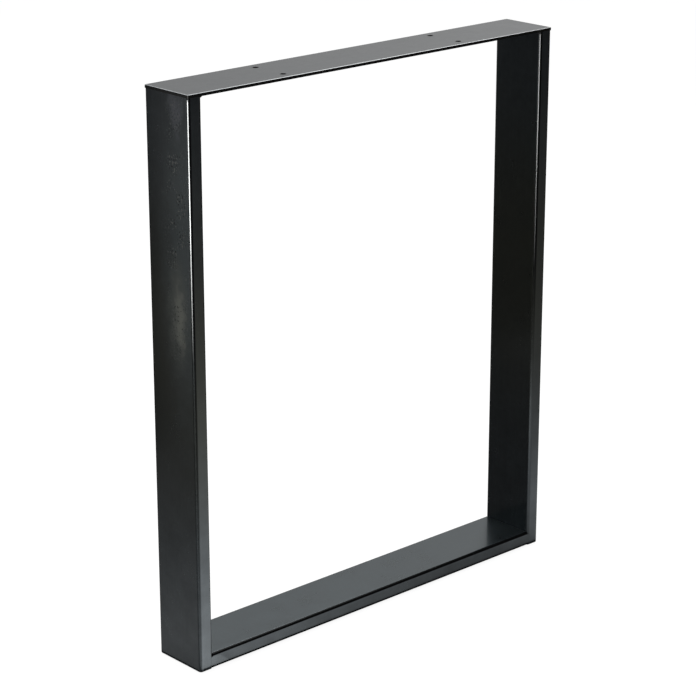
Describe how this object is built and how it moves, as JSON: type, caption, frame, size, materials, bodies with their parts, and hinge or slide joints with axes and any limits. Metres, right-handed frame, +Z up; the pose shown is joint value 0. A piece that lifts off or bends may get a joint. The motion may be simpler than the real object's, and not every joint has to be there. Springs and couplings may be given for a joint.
{
  "type": "steel furniture leg",
  "caption": "Closed rectangular table leg of dark welded rectangular steel tube that stands on the floor, with a flat drilled plate on top to screw under a table top.",
  "frame": {"origin": "on the floor, under the middle of the frame", "axes": "+X along the frame from the left upright to the right one, +Y through it from front to back, +Z up"},
  "size_m": [0.6, 0.08, 0.72],
  "materials": {
    "tube_steel": "dark mill scale, clear satin lacquer",
    "plate_steel": "dark grey mill finish, clear satin lacquer",
    "weld_steel": "ground weld, clear satin lacquer"
  },
  "bodies": {
    "root": {"left_upright": "tube_steel", "right_upright": "tube_steel", "bottom_rail": "tube_steel", "top_plate": "plate_steel", "foot_caps": "tube_steel", "plate_welds": "weld_steel", "rail_welds": "weld_steel"}
  },
  "joints": []
}
